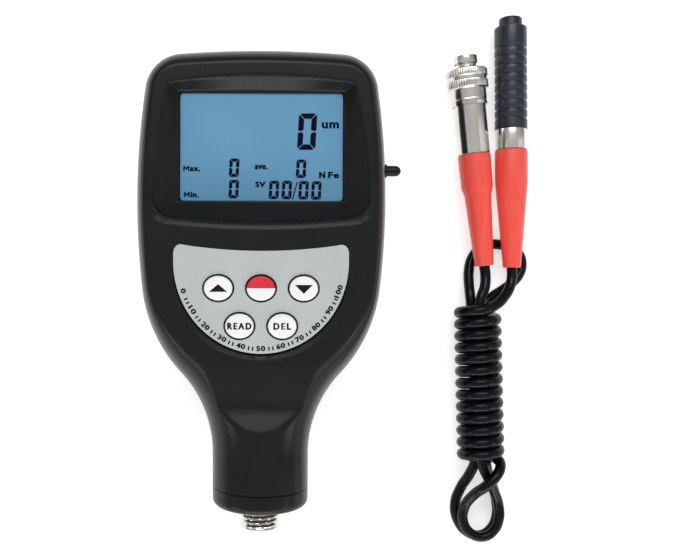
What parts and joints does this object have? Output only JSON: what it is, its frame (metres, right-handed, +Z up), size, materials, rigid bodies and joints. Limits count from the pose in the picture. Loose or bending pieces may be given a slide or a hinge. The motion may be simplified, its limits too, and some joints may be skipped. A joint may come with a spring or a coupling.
{
  "type": "coating thickness gauge",
  "caption": "Hand-held coating thickness gauge with display, keypad and neck socket, beside its pen probe on a wound lead with a screw-coupling plug.",
  "frame": {"origin": "on the flat rear face of the case, on its plane of symmetry, at table level", "axes": "+X to the right of the display, +Y along the case towards the display end, +Z up out of the display"},
  "size_m": [0.1121, 0.1534, 0.0313],
  "materials": {
    "case": "satin black moulding",
    "window": "clear, polished",
    "lcd": "backlit blue",
    "diffuser": "milky",
    "strip": "layered",
    "board": "solder mask",
    "black_plastic": "fine grain",
    "plated_steel": "zinc plated",
    "label": "satin film",
    "key_white": "satin",
    "key_red": "satin, two colours",
    "cell_wrap": "printed sleeve",
    "dust_rubber": "soft",
    "nickel": "polished nickel",
    "contact_gold": "plated",
    "copper": "wound wire",
    "sleeve": "blue-black anodised",
    "nose": "satin",
    "boot": "semi-gloss red",
    "cord": "glossy black jacket"
  },
  "bodies": {
    "gauge": {"front_shell": "case", "rear_shell": "case", "end_cap": "case", "display_window": "window", "lcd_panel": "lcd", "backlight": "diffuser", "contact_strip": "strip", "main_board": "board", "keypad_board": "board", "board_parts": "black_plastic", "key_switches": "black_plastic", "battery_tray": "black_plastic", "interface_jack": "black_plastic", "socket_insert": "black_plastic", "plug_insert": "black_plastic", "case_screws": "plated_steel", "contact_springs": "plated_steel", "contact_plates": "plated_steel", "nose_spring": "plated_steel", "board_spacers": "plated_steel", "face_label": "label", "cell_1": "cell_wrap", "cell_2": "cell_wrap", "cell_3": "cell_wrap", "cell_4": "cell_wrap", "socket_shell": "nickel", "probe_band": "nickel", "plug_tip": "nickel", "plug_barrel": "nickel", "socket_contacts": "contact_gold", "plug_pins": "contact_gold", "probe_sleeve": "sleeve", "probe_boot": "boot", "plug_boot": "boot", "cord_hank": "cord", "cord_plug_end": "cord", "cord_top_loop": "cord", "cord_lower_bight": "cord", "cord_upper_bight": "cord", "cord_probe_end": "cord"},
    "key_up": {"key_up": "key_white"},
    "key_power": {"key_power": "key_red"},
    "key_down": {"key_down": "key_white"},
    "key_read": {"key_read": "key_white"},
    "key_delete": {"key_delete": "key_white"},
    "battery_door": {"battery_door": "case"},
    "dust_plug": {"dust_plug": "dust_rubber"},
    "probe_nose": {"probe_nose": "nose", "sensor_pole": "nose", "sensor_coil": "copper"},
    "coupling_nut": {"coupling_nut": "nickel"}
  },
  "joints": [
    {"name": "key_up_press", "type": "slide", "parent": "gauge", "child": "key_up", "axis": [0, 0, -1], "range_m": [0, 0.0005], "stiffness_N_per_m": 400},
    {"name": "key_power_press", "type": "slide", "parent": "gauge", "child": "key_power", "axis": [0, 0, -1], "range_m": [0, 0.0005], "stiffness_N_per_m": 400},
    {"name": "key_down_press", "type": "slide", "parent": "gauge", "child": "key_down", "axis": [0, 0, -1], "range_m": [0, 0.0005], "stiffness_N_per_m": 400},
    {"name": "key_read_press", "type": "slide", "parent": "gauge", "child": "key_read", "axis": [0, 0, -1], "range_m": [0, 0.0005], "stiffness_N_per_m": 400},
    {"name": "key_delete_press", "type": "slide", "parent": "gauge", "child": "key_delete", "axis": [0, 0, -1], "range_m": [0, 0.0005], "stiffness_N_per_m": 400},
    {"name": "battery_door_slide", "type": "slide", "parent": "gauge", "child": "battery_door", "axis": [0, 1, 0], "range_m": [0, 0.01]},
    {"name": "dust_plug_pull", "type": "slide", "parent": "gauge", "child": "dust_plug", "axis": [1, 0, 0], "range_m": [0, 0.01]},
    {"name": "probe_nose_press", "type": "slide", "parent": "gauge", "child": "probe_nose", "axis": [0, -0.9995, 0.0302], "range_m": [0, 0.002], "stiffness_N_per_m": 500, "deforming": ["nose_spring"]},
    {"name": "coupling_nut_turn", "type": "hinge", "parent": "gauge", "child": "coupling_nut", "pos_m": [0.05942, 0.05536, 0.00622], "axis": [-0.0958, 0.9954, -0.0035], "continuous": true}
  ]
}
